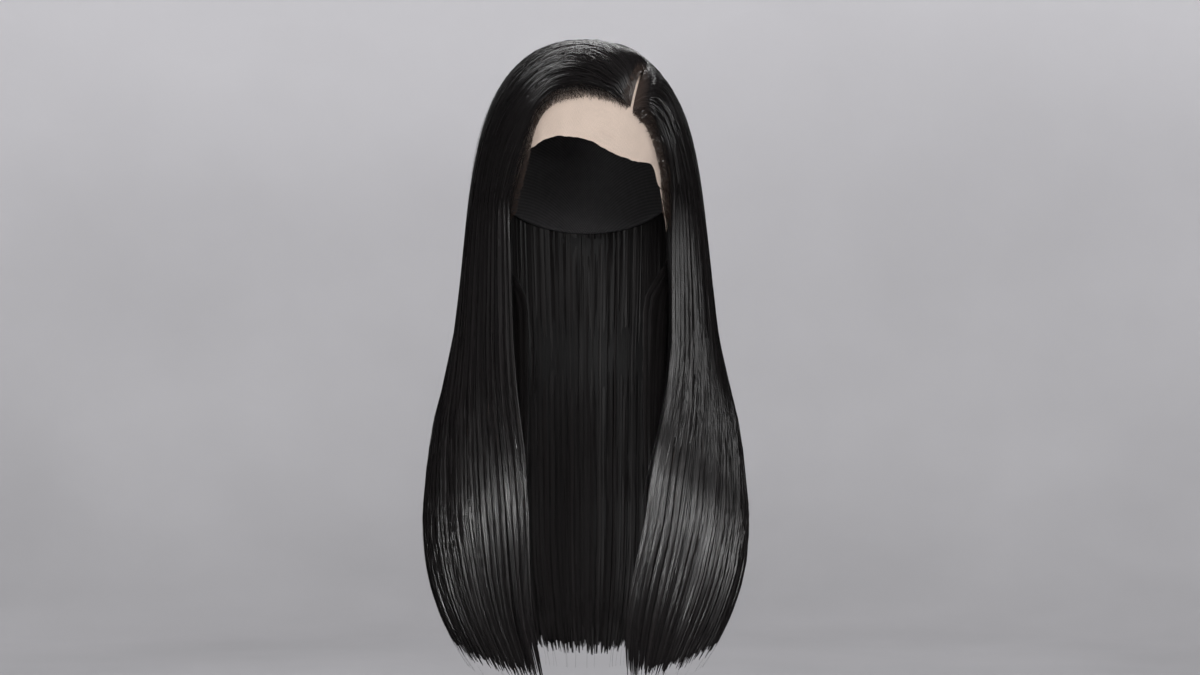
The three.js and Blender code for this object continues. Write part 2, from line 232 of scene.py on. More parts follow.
class StrandSizes(bpy.types.PropertyGroup):
    """How many strands there are, and how wide."""

    width: a_length("Strand width", "Width of a bundle of hairs", 0.0008)
    fine_width: a_length("Fine width", "Width of a single fine hair", 0.00026)
    front_count: a_count("Front strands", "Strands in each front fall", 2300)
    back_count: a_count("Back strands", "Strands on the back fall", 2200)
    inner_count: a_count("Inner strands", "Strands on the inside of the back fall", 1100)
    neck_count: a_count("Neck strands", "Strands beside the neck, a side", 360)
    hairline_count: a_count("Hairline strands", "Strands rooted in the hairline, a side", 1600)
    baby_count: a_count("Baby hairs", "Short hairs on the lace, a side", 700)
    loose_count: a_count("Loose hairs", "Hairs that stray", 700)


class Colours(bpy.types.PropertyGroup):
    """The colours of the hair, the lace, the cap and the studio."""

    hair: a_colour("Hair", "The hair", (0.011, 0.0105, 0.0108))
    glint: a_colour("Glint", "The warmest hairs", (0.021, 0.0185, 0.0185))
    # roots is a painted glow: the brown near the roots stands in for light shining through the thin hair
    # there and for the lace seen between the hairs
    roots: a_colour("Roots", "The hair at its roots", (0.06, 0.042, 0.034))
    lace: a_colour("Lace", "The lace", (0.66, 0.535, 0.445))
    cap: a_colour("Cap", "The cap's net", (0.036, 0.034, 0.036))
    wall: a_colour("Studio", "The floor and backdrop", (0.585, 0.58, 0.59))


def between(rows, key, column, value):
    """A column's value between two rows of a table, on a smooth curve through their values."""
    keys = np.array([row[key] for row in rows], float)
    values = np.array([row[column] for row in rows], float)
    if keys[0] > keys[-1]:
        keys, values = keys[::-1], values[::-1]
    last = len(keys) - 1
    i = np.clip(np.searchsorted(keys, value, "right") - 1, 0, last - 1)
    before, after = np.maximum(np.arange(last + 1) - 1, 0), np.minimum(np.arange(last + 1) + 1, last)
    slope = (values[after] - values[before]) / (keys[after] - keys[before])
    step = keys[i + 1] - keys[i]
    t = np.clip((value - keys[i]) / step, 0, 1)
    level = lerp(values[i], values[i + 1], smooth(t, 0, 1))
    return level + t * (1 - t) * step * ((1 - t) * slope[i] - t * slope[i + 1])


def lerp(a, b, t):
    return a + (b - a) * t


def smooth(value, low, high):
    """0 below low, 1 above high, and a smooth curve between."""
    t = np.clip((value - low) / (high - low), 0, 1)
    return t * t * (3 - 2 * t)


def vectors(x, y, z):
    return np.stack(np.broadcast_arrays(x, y, z), -1)


def unit(v):
    return v / np.maximum(np.linalg.norm(v, axis=-1, keepdims=True), 1e-12)


def direction(side, up):
    """The direction from the head's centre to a place on the head."""
    s, u = np.radians(side), np.radians(up)
    return vectors(np.sin(s), -np.cos(s) * np.cos(u), np.cos(s) * np.sin(u))


def head_radius(toward):
    """The head's radius in directions of length 1."""
    head = bpy.context.scene.wig_head
    level = np.hypot(toward[..., 0] / head.half_width, toward[..., 1] / head.half_depth)
    upright = np.abs(toward[..., 2]) / head.rise
    return (level**head.fullness + upright**head.fullness) ** (-1 / head.fullness)


def head_centre():
    return np.array([0, 0, -bpy.context.scene.wig_head.rise])


def above_scalp(toward, height):
    """The points at a height above the scalp, in directions from the head's centre."""
    toward = unit(toward)
    return toward * (head_radius(toward) + height)[..., None] + head_centre()


def clear_of_scalp(points, height):
    """Points moved outwards where they are nearer to the scalp than a height."""
    outward = points - head_centre()
    length = np.linalg.norm(outward, axis=-1)
    least = head_radius(unit(outward)) + height
    return unit(outward) * np.maximum(length, least)[..., None] + head_centre()


def distance(a, b):
    """The distances between points, never 0."""
    return np.maximum(np.linalg.norm(b - a, axis=-1, keepdims=True), 1e-9)


def curve_through(stops, t):
    """The points of a smooth curve through four stops, at shares t of its three spans."""
    first = 2 * stops[0] - stops[1]
    last = 2 * stops[3] - stops[2]
    run = [first, *stops, last]
    span = np.clip(np.floor(3 * t), 0, 2)
    made = np.zeros(np.broadcast(stops[0], t[..., None]).shape)
    for k in range(3):
        a, b, c, d = run[k : k + 4]
        steps = [distance(p, q) ** 0.5 for p, q in ((a, b), (b, c), (c, d))]
        start = ((b - a) / steps[0] - (c - a) / (steps[0] + steps[1]) + (c - b) / steps[1]) * steps[1]
        end = ((c - b) / steps[1] - (d - b) / (steps[1] + steps[2]) + (d - c) / steps[2]) * steps[1]
        w = (3 * t - k)[..., None]
        path = b + start * w + (3 * (c - b) - 2 * start - end) * w**2 + (2 * (b - c) + start + end) * w**3
        made = np.where((span == k)[..., None], path, made)
    return made


def rounding(share):
    """1 inside a section of hair, falling to 0 at its edge over a quarter of its width."""
    inside = np.clip(4 * share, 0, 1)
    return np.sqrt(1 - (1 - inside) ** 2)


class HairSection:
    """A section of hair: its place, and the turns between which it leaves the head."""

    FACE_EDGE = 0.12  # how thick the hair is at its edge beside the face, as a share
    SEAM_EDGE = (0.85, 0.15)  # how thick it is at its other edges, on the head and in the falls
    BACK_GAP = 1.6  # how far the back fall stands off the front falls, in degrees
    PARTING_SIDE = (21.5, 25.5)  # the parting, from its front end to its back end
    PARTING_UP = (39.5, 75)
    TIP_THICKNESS = 0.0014
    TAPER_START = 0.86  # the share of the length at which the hair starts to thin to its tips
    OUTER_SHORTER = 0.018  # how much shorter the hair is away from the middle of the body, in metres
    TURNS = {
        "right": (RIGHT_EDGE, RIGHT_END),
        "back": (RIGHT_END - BACK_GAP, LEFT_END + BACK_GAP),
        "left": (LEFT_END, LEFT_EDGE),
    }

    def __init__(self, place):
        self.place = place
        self.first, self.last = self.TURNS[place]
        self.hair = bpy.context.scene.wig_hair
        self.cap = bpy.context.scene.wig_cap

    def size(self, name, down):
        """One of the fall's sizes at a share of its height."""
        return between(SECTIONS, "down", name, down) * getattr(self.hair, name)

    def fullness(self, across, down):
        seam = lerp(*self.SEAM_EDGE, smooth(down, 0.05, 0.4))
        start = lerp(self.FACE_EDGE if self.place == "right" else seam, 1, rounding(across))
        end = lerp(self.FACE_EDGE if self.place == "left" else seam, 1, rounding(1 - across))
        return np.minimum(start, end)

    def end(self, across):
        """The share of the fall's length at which the hair ends."""
        outward = {"right": across, "back": 2 * across - 1, "left": 1 - across}[self.place]
        return 1 - self.OUTER_SHORTER * outward**2 / (self.hair.tip_drop - self.hair.ring_drop)

    def thickness(self, across, down):
        taper = 1 - smooth(down, self.TAPER_START, 1)
        full = self.size("thickness", down) * self.fullness(across, down)
        return np.maximum(full * taper, self.TIP_THICKNESS)

    def ends(self, down, half_width):
        """The turns at which a fall begins and ends, on a level section of a given half width."""

        def edge(gap):
            return np.degrees(np.arcsin(np.minimum(gap / half_width, 1)))

        front_end = between(SHOULDERS, "down", "front_end", down)
        back_start = between(SHOULDERS, "down", "back_start", down) + self.BACK_GAP
        if self.place == "back":
            return back_start, 360 - back_start
        if self.place == "right":
            return edge(self.size("right_gap", down)), front_end
        return 360 - front_end, 360 - edge(self.size("left_gap", down))

    def fall_point(self, across, down, depth):
        width = self.size("half_width", down)
        first, last = self.ends(down, width)
        angle = np.radians(lerp(first, last, across))
        front, back = self.size("front_reach", down), self.size("back_reach", down)
        reach = np.where(np.cos(angle) > 0, front, back)
        inset = self.thickness(across, down) * (1 - depth)
        height = lerp(-self.hair.ring_drop, -self.hair.tip_drop, down)
        return vectors(-(width - inset) * np.sin(angle), -(reach - inset) * np.cos(angle), height)

    def head_point(self, across, over, depth):
        head = bpy.context.scene.wig_head
        turn = lerp(self.first, self.last, across)
        root, side1, up1, side2, up2 = (
            between(STRANDS, "turn", column, turn) for column in ("root", "side1", "up1", "side2", "up2")
        )
        half_round = np.pi * (turn - RIGHT_EDGE) / (LEFT_EDGE - RIGHT_EDGE)
        half_parting = math.degrees(self.hair.parting_width / 2 / head.rise)
        start = direction(
            lerp(*self.PARTING_SIDE, root) - np.cos(half_round) * half_parting,
            lerp(*self.PARTING_UP, root) + np.sin(half_round) * half_parting,
        )
        leaving = self.fall_point(across, np.zeros_like(over), depth) - head_centre()
        stops = [start, direction(side1, up1), direction(side2, up2), unit(leaving)]
        length = sum(np.linalg.norm(b - a, axis=-1) for a, b in zip(stops, stops[1:]))
        grown = 1 - np.exp(-over * length * head.half_depth / self.hair.rise_run)
        fullness = self.fullness(across, np.zeros_like(over))
        full = lerp(self.hair.edge, self.hair.crown_rise, grown * fullness)
        base = self.cap.wall + self.cap.clearance + self.hair.lift * grown
        leaving_height = np.linalg.norm(leaving, axis=-1) - head_radius(unit(leaving))
        far = np.maximum(leaving_height, base + self.TIP_THICKNESS * depth)
        height = lerp(base + full * depth, far, over**self.hair.leaving_curve)
        return above_scalp(curve_through(stops, over), height)

    def point(self, across, travel, depth):
        across, travel, depth = np.broadcast_arrays(across, travel, depth)
        on_head = self.head_point(across, np.clip(travel, 0, 1), depth)
        down = np.clip(travel - 1, 0, 1.05) * self.end(across)
        clearance = self.cap.wall + self.cap.fall_clearance
        falling = clear_of_scalp(self.fall_point(across, down, depth), clearance)
        return np.where((travel < 1)[..., None], on_head, falling)


class NeckHair:
    """The hair beside the neck. hand is -1 on the wearer's right and 1 on the left."""

    EDGE = 0.25  # how thick it is at its edges, as a share

    def __init__(self, hand):
        self.hand = hand
        self.hair = bpy.context.scene.wig_hair
        self.cap = bpy.context.scene.wig_cap

    def point(self, across, travel, depth):
        across, travel, depth = np.broadcast_arrays(across, travel, depth)
        share = {c: between(NECK_SECTIONS, "down", c, travel / 2) for c in list(NECK_SECTIONS[0])[1:]}
        angle = np.radians(lerp(share["start"], share["end"], across))
        edge = lerp(self.EDGE, 1, np.minimum(rounding(across), rounding(1 - across)))
        full = share["thickness"] * self.hair.neck_thickness * edge
        reach = np.where(
            np.cos(angle) > 0, share["front"] * self.hair.neck_front, share["back"] * self.hair.neck_back
        )
        inset = full * (1 - depth)
        points = vectors(
            self.hand * (share["width"] * self.hair.neck_half_width - inset) * np.sin(angle),
            -(reach - inset) * np.cos(angle),
            lerp(-self.hair.neck_top, -self.hair.neck_tip, travel / 2),
        )
        return clear_of_scalp(points, self.cap.wall + self.cap.fall_clearance + full * depth)


def new_piece(name, points, faces):
    """A mesh object from points and quads, shaded smooth, which rides on the part's one body."""
    mesh = bpy.data.meshes.new(name)
    mesh.vertices.add(len(points))
    mesh.vertices.foreach_set("co", np.asarray(points, np.float32).ravel())
    mesh.loops.add(faces.size)
    mesh.loops.foreach_set("vertex_index", np.asarray(faces, np.int32).ravel())
    mesh.polygons.add(len(faces))
    mesh.polygons.foreach_set("loop_start", np.arange(0, faces.size, 4, dtype=np.int32))
    mesh.update(calc_edges=True)
    mesh.validate()
    mesh.shade_smooth()
    piece = bpy.data.objects.new(name, mesh)
    bpy.context.scene.collection.objects.link(piece)
    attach(piece, "root")
    return piece


def quads_of(rows, columns):
    """The quads of a grid of points, row by row."""
    i, j = np.meshgrid(np.arange(rows - 1), np.arange(columns - 1), indexing="ij")
    a = (i * columns + j).ravel()
    return np.stack([a, a + 1, a + columns + 1, a + columns], -1)


def wall_piece(name, skin, across, along):
    """A closed wall between the outer and the inner skin, on a grid, with its flow and its map."""
    u, v = np.meshgrid(np.linspace(0, 1, across + 1), np.linspace(0, 1, along + 1), indexing="ij")
    outer, inner = skin(u, v, np.ones_like(u)), skin(u, v, np.zeros_like(u))
    columns = along + 1
    count = u.size
    quads = quads_of(across + 1, columns)
    back = quads[:, ::-1] + count
    row = np.arange(along)
    column = np.arange(across) * columns
    rims = [
        np.stack([row + 1, row, row + count, row + 1 + count], -1),
        np.stack([row, row + 1, row + 1 + count, row + count], -1) + across * columns,
        np.stack([column, column + columns, column + columns + count, column + count], -1),
        np.stack([column + columns, column, column + count, column + columns + count], -1) + along,
    ]
    faces = np.concatenate([quads, back, *rims])
    points = np.concatenate([outer.reshape(-1, 3), inner.reshape(-1, 3)])
    if signed_volume(points, faces) < 0:
        faces = faces[:, ::-1]
    piece = new_piece(name, points, faces)
    length = lengths_along(outer, 1)
    width = np.broadcast_to(lengths_along(outer, 0).max(axis=1, keepdims=True), u.shape)
    flow = vectors(width, length, np.zeros_like(length)).reshape(-1, 3)
    set_vectors(piece, "flow", np.concatenate([flow, flow]))
    half_map = (np.stack([u.ravel(), v.ravel()], -1) * 0.98 + 0.01) * (0.5, 1)
    set_map(piece, np.concatenate([half_map, half_map + (0.5, 0)]))
    return piece


def lengths_along(points, axis):
    """How far each point of a grid lies along its row or its column."""
    steps = np.diff(points, axis=axis, prepend=np.take(points, [0], axis))
    return np.cumsum(np.linalg.norm(steps, axis=-1), axis=axis)


def signed_volume(points, faces):
    a, b, c, d = (points[faces[:, k]] for k in range(4))
    return float(np.einsum("ij,ij->", a, np.cross(b, c) + np.cross(c, d)))


def set_vectors(piece, name, values):
    attribute = piece.data.attributes.new(name, "FLOAT_VECTOR", "POINT")
    attribute.data.foreach_set("vector", np.asarray(values, np.float32).ravel())


def set_map(piece, places):
    """The UV map named OFBake, from one place in it for each point."""
    corners = np.zeros(len(piece.data.loops), np.int32)
    piece.data.loops.foreach_get("vertex_index", corners)
    layer = piece.data.uv_layers.new(name="OFBake")
    layer.uv.foreach_set("vector", np.asarray(places, np.float32)[corners].ravel())


def ribbons(name, paths, outward, widths, shades, ridge=None):
    """Strands as narrow ribbons, flat or with a ridge. paths and outward have a row of points for
    each strand, widths the width at each point, shades one number for each strand, and ridge the
    ridge's height at each point, as a share of half the width."""
    count, steps = paths.shape[:2]
    corners = 2 if ridge is None else 3
    along = unit(np.gradient(paths, axis=1))
    outward = unit(outward - along * (outward * along).sum(-1, keepdims=True))
    half = np.cross(along, outward) * (np.broadcast_to(widths, paths.shape[:2]) / 2)[..., None]
    rows = [paths - half, paths + half]
    if corners == 3:
        rows.insert(1, paths + outward * np.linalg.norm(half, axis=-1, keepdims=True) * ridge[..., None])
    rows = np.stack(rows, 2)
    first = np.arange(count)[:, None] * steps * corners
    faces = (first[..., None] + quads_of(steps, corners)).reshape(-1, 4)
    piece = new_piece(name, rows.reshape(-1, 3), faces)
    length = lengths_along(paths, 1)
    flow = np.broadcast_arrays(shades[:, None, None], length[:, :, None], rows[..., 0])
    set_vectors(piece, "flow", np.stack(flow, -1).reshape(-1, 3))
    columns = 4  # the strands lie side by side in the map, in so many columns
    strand = np.arange(count)[:, None, None]
    u = strand % columns + 0.02 + 0.96 * np.linspace(0, 1, steps)[None, :, None]
    v = strand // columns + 0.1 + 0.8 * np.linspace(0, 1, corners)[None, None, :]
    places = np.broadcast_arrays(u / columns, v / math.ceil(count / columns))
    set_map(piece, np.stack(places, -1).reshape(-1, 2))
    return piece


@dataclass
class Growth:
    """How the strands of a piece grow. Shares are of the section's width, travel or thickness."""

    count: int
    width: float
    locks: int = 26
    tufts: int = 110  # the fine locks that the tips part into
    rooted: float = 0.45  # the share of strands that start at the roots
    late: float = 0.5  # the latest travel at which another starts
    uneven: float = 0.035  # how much the tufts differ in length
    ragged: float = 0.03  # how much the strands of a tuft differ in length
    gather: float = 0.2  # how far strands draw together in their lock on the way down
    point: float = 0.55  # how far they draw together in their tuft at the tips
    depth: float = 1.0  # where they lie, from 0 inside the hair to 1 outside
    scatter: float = 0.022  # how unevenly deep they lie
    relief: float = 0.09  # how much lower the edges of a lock are than its middle
    wave: float = 0.025  # how far a lock swings in and out on the way down
    sway: float = 0.0025  # how far a strand strays sideways
    facing: int = 1  # 1 for the outer skin, -1 for the inner skin
    roll: float = 0.2  # how unevenly strands lie, as the tangent of an angle
    turned: float = 0.14  # how unevenly tufts lie
    hairline: float = 0.0  # 1 or -1 where the hairline's own strands take over the first or last edge
    ridged: bool = True
    swept: float = 0.13  # how far the falls in front sweep inward at the tips
    overlap: float = 0.035  # how far strands on the head reach past the hairline, or past both seams behind


def locks_of(chance, across, count):
    """The lock of each strand: its middle, and the strand's place in it from -1 to 1."""
    widths = chance.uniform(0.35, 1.65, count)
    edges = np.concatenate([[0], np.cumsum(widths) / widths.sum()])
    lock = np.clip(np.searchsorted(edges, across, "right") - 1, 0, count - 1)
    middle = (edges[lock] + edges[lock + 1]) / 2
    return lock, middle, (across - middle) / (edges[lock + 1] - edges[lock]) * 2


# Spans of travel over which a change in the hair goes from none to full
GATHERING = (0.9, 1.9)
POINTING = (1.85, 2.0)
SWEEPING = (1.5, 2.05)
PARTING_TIPS = (1.6, 1.95)
LEAVING_HEAD = (0.75, 1.15)
LEAVING_SEAM = (1.0, 1.35)
RIDGING = (0.6, 1.2)

# Small steps in depth and across a section, which tell the way that a strand faces
DEPTH_STEP, ACROSS_STEP = 0.2, 0.01

# Shares of a section's width
EDGE_SPAN = (0.08, 0.22)  # how far the fine locks at a fall's inner edge reach into it
EDGE_SHIFT = 0.09  # how far their tips lie out towards that edge
ROOTS_KEPT = 0.1  # how far strands on the head keep off the hairline

# Shares of a section's thickness
LATE_SINK = 0.3  # how deep a strand that starts late comes up from
ROOT_SINK = 1.5  # how deep the roots are

EDGE_LOCKS = 50  # so many fine locks would fill a fall
EDGE_GATHER = 0.9  # how far strands draw together in them
TIP_STRAY = 0.3  # how far tips stray from the middle of their tuft, in widths of a tuft
LOCK_TILT = 0.6  # how far strands turn to the sides at the edges of their lock, as a tangent
TIP_TAPER = 0.8  # how much narrower a strand gets at its tip
FALL_SPREAD = 0.3  # how much wider it is in the lower fall
RIDGES = (0.16, 0.6)  # the height of its ridge on the head and in the fall


def within(across, kept, hairline):
    """Places across a section that keep off its edge at the hairline, by a share of its width."""
    return kept * (hairline > 0) + across * (1 - kept * abs(hairline))


def swept_in(a, across, travel, growth, chance):
    """Places across a front fall whose inner edge parts into fine locks and whose tips sweep inward."""
    edge = (1 - growth.hairline) / 2
    parted = (1 - smooth(abs(across - edge), *EDGE_SPAN))[:, None] * smooth(travel, *PARTING_TIPS)
    line = locks_of(chance, across, EDGE_LOCKS)[1][:, None] - growth.hairline * EDGE_SHIFT
    a = lerp(a, line, EDGE_GATHER * parted)
    return a - growth.hairline * growth.swept * smooth(travel, *SWEEPING) * np.clip(4 * a * (1 - a), 0, 1)


def grow_strands(name, section, growth, seed):
    """Strands that follow a section of hair, gathered into rounded locks with pointed tips."""
    chance = np.random.default_rng(seed)
    count, locks, tufts, facing = growth.count, growth.locks, growth.tufts, growth.facing
    share = strand_steps()[None, :]
    across = (np.arange(count) + chance.uniform(0, 1, count)) / count
    lock, middle, place = locks_of(chance, across, locks)
    tuft, tip, _ = locks_of(chance, across, tufts)
    tip = (tip + chance.normal(0, TIP_STRAY / tufts, tufts)[tuft])[:, None]
    late = chance.uniform(0, 1, count) > growth.rooted
    begin = np.where(late, chance.uniform(0.02, growth.late, count), 0)[:, None]
    tuft_stop = 2 - growth.uneven * chance.uniform(0, 1, tufts)[tuft]
    stop = (tuft_stop - growth.ragged * chance.uniform(0, 1, count) ** 2)[:, None]
    travel = begin + (stop - begin) * share

    a = lerp(across[:, None], middle[:, None], growth.gather * smooth(travel, *GATHERING))
    a = lerp(a, tip, growth.point * smooth(travel, *POINTING))
    if growth.hairline:
        a = swept_in(a, across, travel, growth, chance)
    a = within(a, ROOTS_KEPT * (1 - smooth(travel, *LEAVING_HEAD)), growth.hairline)
    still = 0.5 * (1 + growth.hairline)
    a = still + (a - still) * (1 + growth.overlap * (1 - smooth(travel, *LEAVING_SEAM)))
    phase = chance.uniform(0, 2 * np.pi, (3, count, 1))
    stray = np.sin(2.3 * travel + phase[0]) + 0.5 * np.sin(6.1 * travel + phase[1])
    a = a + growth.sway * stray * smooth(travel, 0.1, 1.2) * chance.normal(0, 1, (count, 1))

    depth = growth.depth + facing * chance.normal(0, growth.scatter, (count, 1))
    rate = chance.uniform(14, 26, locks)[lock][:, None]
    swing = np.sin(rate * travel + chance.uniform(0, 7, locks)[lock][:, None])
    relief = growth.relief * place[:, None] ** 2 * smooth(travel, 0.1, 0.9)
    depth = depth + facing * (growth.wave * swing * smooth(travel, 0.2, 1) - relief)
    depth = depth - facing * LATE_SINK * late[:, None] * (1 - smooth(travel - begin, 0, 0.3))
    depth = depth - facing * ROOT_SINK * (1 - smooth(travel, -0.012, 0.03))

    paths = eased(section.point(a, travel, depth), travel)
    outward = facing * unit(paths - eased(section.point(a, travel, depth - DEPTH_STEP), travel))
    beside = unit(section.point(a + ACROSS_STEP, travel, depth) - paths)
    tilt = LOCK_TILT * place[:, None] + chance.normal(0, growth.roll, (count, 1))
    tilt = tilt + chance.normal(0, growth.turned, tufts)[tuft][:, None]
    outward = outward + (tilt * lerp(0.5, 1, smooth(travel, 0.7, 1.2)))[..., None] * beside

    widths = growth.width * chance.uniform(0.6, 1.15, (count, 1))
    widths = widths * (1 - TIP_TAPER * smooth(share, 0.965, 1.0))
    widths = widths * lerp(0.5, 1, smooth(share, 0, 0.06)) * (1 + FALL_SPREAD * smooth(share, 0.75, 0.9))
    uneven = chance.normal(0, 0.14, tufts)[tuft] + chance.normal(0, 0.1, count)
    shades = np.clip(0.5 + chance.normal(0, 0.1, locks)[lock] + uneven, 0, 1)
    ridge = lerp(*RIDGES, smooth(travel, *RIDGING)) if growth.ridged else None
    return ribbons(name, paths, outward, widths, shades, ridge)


def eased(paths, travel):
    """Paths whose bend where the hair leaves the head is spread over the points beside it."""
    share = np.exp(-(((travel - 1) / 0.25) ** 2))[:, 1:-1, None]
    for _ in range(3):
        smoothed = (paths[:, :-2] + 2 * paths[:, 1:-1] + paths[:, 2:]) / 4
        paths[:, 1:-1] = lerp(paths[:, 1:-1], smoothed, share)
    over_cap = bpy.context.scene.wig_cap.wall + 0.3 * MM
    return clear_of_scalp(paths, lerp(0.2 * MM, over_cap, smooth(travel, 0.15, 0.45)))


def strand_steps():
    """Shares of a strand's length, closer together over the head and near the tip."""
    head, fall, tip = np.linspace(0, 0.5, 12), np.linspace(0.5, 0.9, 7), np.linspace(0.9, 1, 4)
    return np.concatenate([head[:-1], fall, tip[1:]])


class Term:
    """A socket in an expression: each operator adds its Math node."""

    def __init__(self, shader, socket):
        self.shader = shader
        self.socket = socket

    def made(self, operation, *values):
        return self.shader.add("Math", {"operation": operation}, dict(enumerate(values))).out("Value")

    def __add__(self, other):
        return self.made("ADD", self, other)

    def __radd__(self, other):
        return self.made("ADD", other, self)

    def __sub__(self, other):
        return self.made("SUBTRACT", self, other)

    def __rsub__(self, other):
        return self.made("SUBTRACT", other, self)

    def __mul__(self, other):
        return self.made("MULTIPLY", self, other)

    def __rmul__(self, other):
        return self.made("MULTIPLY", other, self)

    def cosine(self):
        return self.made("COSINE", self)

    def clamped(self):
        return self.shader.add("Clamp", {}, {"Value": self}).out("Result")


class Added:
    """A node that was added, whose outputs are terms."""

    def __init__(self, shader, node):
        self.shader = shader
        self.node = node

    def out(self, name):
        return Term(self.shader, self.node.outputs[name])


class Shader:
    """A material and its nodes."""

    def __init__(self, name, **plain):
        self.material = bpy.data.materials.new(name)
        self.material.use_nodes = True
        self.tree = self.material.node_tree
        self.surface = self.tree.nodes["Principled BSDF"]
        for socket, value in plain.items():
            self.surface.inputs[socket.replace("_", " ")].default_value = value

    def add(self, kind, settings, sockets):
        node = self.tree.nodes.new("ShaderNode" + kind)
        for name, value in settings.items():
            setattr(node, name, value)
        for key, value in sockets.items():
            self.give(node.inputs[key], value)
        return Added(self, node)

    def give(self, socket, value):
        if isinstance(value, Term):
            self.tree.links.new(value.socket, socket)
        else:
            socket.default_value = value

    def set(self, **sockets):
        for name, value in sockets.items():
            self.give(self.surface.inputs[name.replace("_", " ")], value)

    def mix(self, share, low, high):
        """A colour between two colours."""
        node = self.tree.nodes.new("ShaderNodeMix")
        node.data_type = "RGBA"
        colours = [s for s in node.inputs if s.type == "RGBA"]
        self.give(node.inputs[0], share)
        self.give(colours[0], low)
        self.give(colours[1], high)
        return Term(self, next(s for s in node.outputs if s.type == "RGBA"))

    def flow(self):
        """How far each point lies across and along its piece, or the shade and length of a strand."""
        return self.add("Attribute", {"attribute_name": "flow"}, {}).out("Vector")

    def parts(self, vector):
        node = self.add("SeparateXYZ", {}, {"Vector": vector})
        return [node.out(axis) for axis in "XYZ"]

    def stretched(self, vector, scale):
        """A vector times a size for each of its numbers."""
        return self.add("VectorMath", {"operation": "MULTIPLY"}, {0: vector, 1: scale}).out("Vector")

    def noise(self, vector, scale, detail=2.0):
        node = self.add("TexNoise", {}, {"Vector": vector, "Scale": scale, "Detail": detail})
        return node.out("Fac")

    def bump(self, height, strength, distance):
        node = self.add("Bump", {}, {"Height": height, "Strength": strength, "Distance": distance})
        return node.out("Normal")


def tint(colour, factor=1.0):
    return (*(min(c * factor, 1.0) for c in colour), 1.0)


def under_hair_finish():
    """The dense dark hair under the strands, with streaks that follow them."""
    colours = bpy.context.scene.wig_colours
    shader = Shader("under_hair", IOR=1.5, Specular_IOR_Level=0.1)
    flow = shader.flow()
    fine = shader.noise(shader.stretched(flow, (2400.0, 9.0, 0.0)), 1.0, 3.0)
    broad = shader.noise(shader.stretched(flow, (420.0, 4.0, 0.0)), 1.0, 2.0)
    streak = fine * 0.6 + broad * 0.4
    shader.set(
        Base_Color=shader.mix(streak, tint(colours.hair, 0.4), tint(colours.hair, 1.2)),
        Roughness=0.42 + streak * 0.2,
        Normal=shader.bump(streak, 0.6, 0.0006),
    )
    return shader.material


def strand_finish(name="glossy_strands", gloss=0.2, rough=0.17):
    """Glossy black hair: each strand has a shade and a gloss of its own."""
    colours = bpy.context.scene.wig_colours
    shader = Shader(name, IOR=1.5, Specular_IOR_Level=gloss)
    flow = shader.flow()
    shade, length, _ = shader.parts(flow)
    patch = shader.noise(shader.stretched(flow, (37.0, 11.0, 0.0)), 1.0, 2.0)
    black = shader.mix(shade * 0.8 + patch * 0.2, tint(colours.hair, 0.3), tint(colours.glint))
    # Painted glow: each strand turns brown towards its roots, standing in for light shining through the
    # thin hair there and for the lace seen between the hairs
    root = (1 - length * 65).clamped() * (0.4 + shade)
    shader.set(
        Base_Color=shader.mix(root, black, tint(colours.roots)),
        Roughness=rough + shade * 0.06 + patch * 0.08,
    )
    return shader.material


def lace_finish():
    """Sheer beige lace: a fine net of round holes, closed where hair is knotted into it."""
    colours = bpy.context.scene.wig_colours
    pitch = bpy.context.scene.wig_cap.net_pitch
    shader = Shader("sheer_lace", Roughness=0.82, Specular_IOR_Level=0.25)
    flow = shader.flow()
    x, y, knotted = shader.parts(flow)
    turn = 4 * math.pi / (math.sqrt(3) * pitch)
    net = (x * turn).cosine()
    for angle in (math.radians(60), math.radians(120)):
        net = net + (x * (turn * math.cos(angle)) + y * (turn * math.sin(angle))).cosine()
    thread = ((1.9 - net) * 1.6).clamped()
    cloud = shader.noise(flow, 60.0, 3.0)
    cover = (thread * 0.5 + 0.45 + knotted).clamped()
    shader.set(
        Base_Color=shader.mix(cloud, tint(colours.lace, 0.9), tint(colours.lace, 1.08)),
        Alpha=cover,
        Normal=shader.bump(thread, 0.35, 0.0002),
    )
    return shader.material


def cap_finish():
    """Matt black stretch net, with a fine knit."""
    colours = bpy.context.scene.wig_colours
    shader = Shader("stretch_net", Specular_IOR_Level=0.2)
    flow = shader.flow()
    x, y, _ = shader.parts(flow)
    knit = (x * 2600.0).cosine() * (y * 2100.0).cosine()
    cloud = shader.noise(flow, 120.0, 3.0)
    shader.set(
        Base_Color=shader.mix(knit * 0.35 + cloud * 0.6, tint(colours.cap, 0.6), tint(colours.cap, 1.8)),
        Roughness=0.72 + cloud * 0.2,
        Normal=shader.bump(knit, 0.5, 0.0003),
    )
    return shader.material


def finish_of(name, make):
    """The material of that name, made when it is first asked for."""
    return bpy.data.materials.get(name) or make()


FOREHEAD_RADIUS = 95  # in millimetres, as the folds are


def lace_up(side):
    """How high the lace's cut edge lies, in degrees."""
    return between(LACE_EDGE, "side", "up", side)


def fold_height(toward):
    """How far the lace's small folds stand out."""
    height = np.zeros(toward.shape[:-1])
    for fold in LACE_FOLDS:
        a = direction(fold["side1"], fold["up1"])
        b = direction(fold["side2"], fold["up2"])
        share = np.clip(((toward - a) @ (b - a)) / ((b - a) @ (b - a)), 0, 1)
        nearest = a + share[..., None] * (b - a)
        away = np.linalg.norm(toward - nearest, axis=-1) * FOREHEAD_RADIUS / fold["width"]
        ends = np.sin(np.pi * (0.08 + 0.84 * share))
        height = height + fold["height"] * MM * np.exp(-(away**2)) * ends
    return height


